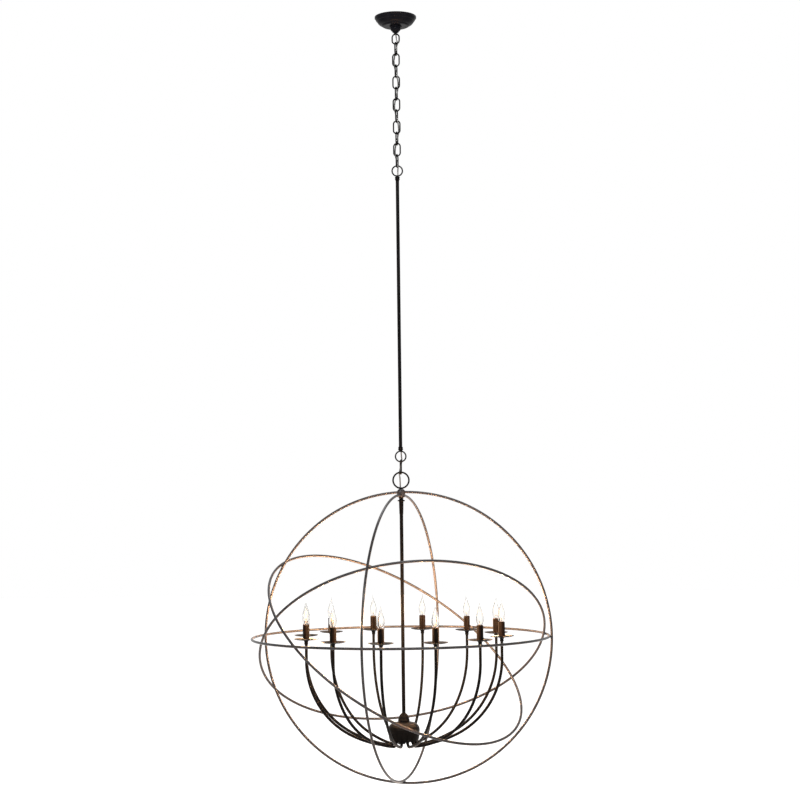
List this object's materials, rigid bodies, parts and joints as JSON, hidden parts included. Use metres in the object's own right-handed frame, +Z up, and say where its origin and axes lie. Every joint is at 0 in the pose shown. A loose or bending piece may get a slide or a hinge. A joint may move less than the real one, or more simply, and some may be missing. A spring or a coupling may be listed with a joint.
{
  "type": "orb chandelier",
  "caption": "Open iron orb of crossed rings on a down rod and chain, with curved arms inside it that carry candle lights around a central hub.",
  "frame": {"origin": "centre of the crossbar's two screw slots, on the ceiling plane and on the hanging axis", "axes": "+Z up along the hanging axis into the ceiling, +X along the crossbar, -Y towards the front"},
  "size_m": [1.0582, 1.0539, 2.7329],
  "materials": {
    "iron": "satin black-brown wrought iron",
    "chain_iron": "satin black-brown wire",
    "canopy_metal": "satin black-brown spun sheet",
    "plated_steel": "zinc plated",
    "sleeve_metal": "dark bronze",
    "cable_sheath": "black cord sheath",
    "socket_plastic": "moulded phenolic",
    "bulb_brass": "nickelled brass cap",
    "bulb_glass": "clear"
  },
  "bodies": {
    "ceiling_mount": {"mounting_crossbar": "plated_steel", "hanger_nipple": "plated_steel", "nipple_locknut": "plated_steel", "canopy": "canopy_metal", "canopy_collar": "canopy_metal", "collar_loop": "iron", "supply_cable": "cable_sheath"},
    "link_01": {"chain_link_01": "chain_iron"},
    "link_02": {"chain_link_02": "chain_iron"},
    "link_03": {"chain_link_03": "chain_iron"},
    "link_04": {"chain_link_04": "chain_iron"},
    "link_05": {"chain_link_05": "chain_iron"},
    "link_06": {"chain_link_06": "chain_iron"},
    "link_07": {"chain_link_07": "chain_iron"},
    "link_08": {"chain_link_08": "chain_iron"},
    "link_09": {"chain_link_09": "chain_iron"},
    "link_10": {"chain_link_10": "chain_iron"},
    "link_11": {"chain_link_11": "chain_iron"},
    "down_rod": {"rod_top_ring": "iron", "rod_top_coupling": "iron", "down_rod": "iron", "rod_bottom_coupling": "iron", "rod_bottom_ring": "iron"},
    "connecting_link": {"connecting_link": "chain_iron"},
    "orb": {"arm_01": "iron", "arm_02": "iron", "arm_03": "iron", "arm_04": "iron", "arm_05": "iron", "arm_06": "iron", "arm_07": "iron", "arm_08": "iron", "arm_09": "iron", "arm_10": "iron", "arm_11": "iron", "arm_12": "iron", "arm_cups": "iron", "arm_nuts": "plated_steel", "bulb_bases": "bulb_brass", "bulb_glass": "bulb_glass", "candle_pans": "iron", "candle_sleeves": "sleeve_metal", "centre_stem": "iron", "far_tilted_ring": "iron", "hub_base": "iron", "hub_body": "iron", "hub_cap": "iron", "hub_finial": "iron", "inner_upright_ring": "iron", "lamp_sockets": "socket_plastic", "level_ring": "iron", "near_tilted_ring": "iron", "orb_hanging_ring": "iron", "outer_upright_ring": "iron", "pole_collar": "iron", "pole_hub": "iron", "ring_welds": "iron", "stem_ferrule": "iron", "stem_nut": "plated_steel", "wire_splice": "socket_plastic"}
  },
  "joints": [
    {"name": "chain_joint_01", "type": "hinge", "parent": "ceiling_mount", "child": "link_01", "pos_m": [0, 0, -0.0986], "axis": [0.9659, -0.2588, 0], "range_deg": [-12, 12], "deforming": ["supply_cable"]},
    {"name": "chain_joint_02", "type": "hinge", "parent": "link_01", "child": "link_02", "pos_m": [0, 0, -0.1394], "axis": [0.2588, 0.9659, 0], "range_deg": [-12, 12], "deforming": ["supply_cable"]},
    {"name": "chain_joint_03", "type": "hinge", "parent": "link_02", "child": "link_03", "pos_m": [0, 0, -0.1802], "axis": [0.9659, -0.2588, 0], "range_deg": [-12, 12], "deforming": ["supply_cable"]},
    {"name": "chain_joint_04", "type": "hinge", "parent": "link_03", "child": "link_04", "pos_m": [0, 0, -0.221], "axis": [0.2588, 0.9659, 0], "range_deg": [-12, 12], "deforming": ["supply_cable"]},
    {"name": "chain_joint_05", "type": "hinge", "parent": "link_04", "child": "link_05", "pos_m": [0, 0, -0.2618], "axis": [0.9659, -0.2588, 0], "range_deg": [-12, 12], "deforming": ["supply_cable"]},
    {"name": "chain_joint_06", "type": "hinge", "parent": "link_05", "child": "link_06", "pos_m": [0, 0, -0.3026], "axis": [0.2588, 0.9659, 0], "range_deg": [-12, 12], "deforming": ["supply_cable"]},
    {"name": "chain_joint_07", "type": "hinge", "parent": "link_06", "child": "link_07", "pos_m": [0, 0, -0.3434], "axis": [0.9659, -0.2588, 0], "range_deg": [-12, 12], "deforming": ["supply_cable"]},
    {"name": "chain_joint_08", "type": "hinge", "parent": "link_07", "child": "link_08", "pos_m": [0, 0, -0.3842], "axis": [0.2588, 0.9659, 0], "range_deg": [-12, 12], "deforming": ["supply_cable"]},
    {"name": "chain_joint_09", "type": "hinge", "parent": "link_08", "child": "link_09", "pos_m": [0, 0, -0.425], "axis": [0.9659, -0.2588, 0], "range_deg": [-12, 12], "deforming": ["supply_cable"]},
    {"name": "chain_joint_10", "type": "hinge", "parent": "link_09", "child": "link_10", "pos_m": [0, 0, -0.4658], "axis": [0.2588, 0.9659, 0], "range_deg": [-12, 12], "deforming": ["supply_cable"]},
    {"name": "chain_joint_11", "type": "hinge", "parent": "link_10", "child": "link_11", "pos_m": [0, 0, -0.5066], "axis": [0.9659, -0.2588, 0], "range_deg": [-12, 12], "deforming": ["supply_cable"]},
    {"name": "chain_joint_12", "type": "hinge", "parent": "link_11", "child": "down_rod", "pos_m": [0, 0, -0.5474], "axis": [0.2588, 0.9659, 0], "range_deg": [-12, 12], "deforming": ["supply_cable"]},
    {"name": "rod_ring_joint", "type": "hinge", "parent": "down_rod", "child": "connecting_link", "pos_m": [0, 0, -1.6025], "axis": [1, 0, 0], "range_deg": [-12, 12], "deforming": ["supply_cable"]},
    {"name": "orb_ring_joint", "type": "hinge", "parent": "connecting_link", "child": "orb", "pos_m": [0, 0, -1.6462], "axis": [-0.1392, 0.9903, 0], "range_deg": [-12, 12], "deforming": ["supply_cable"]}
  ]
}
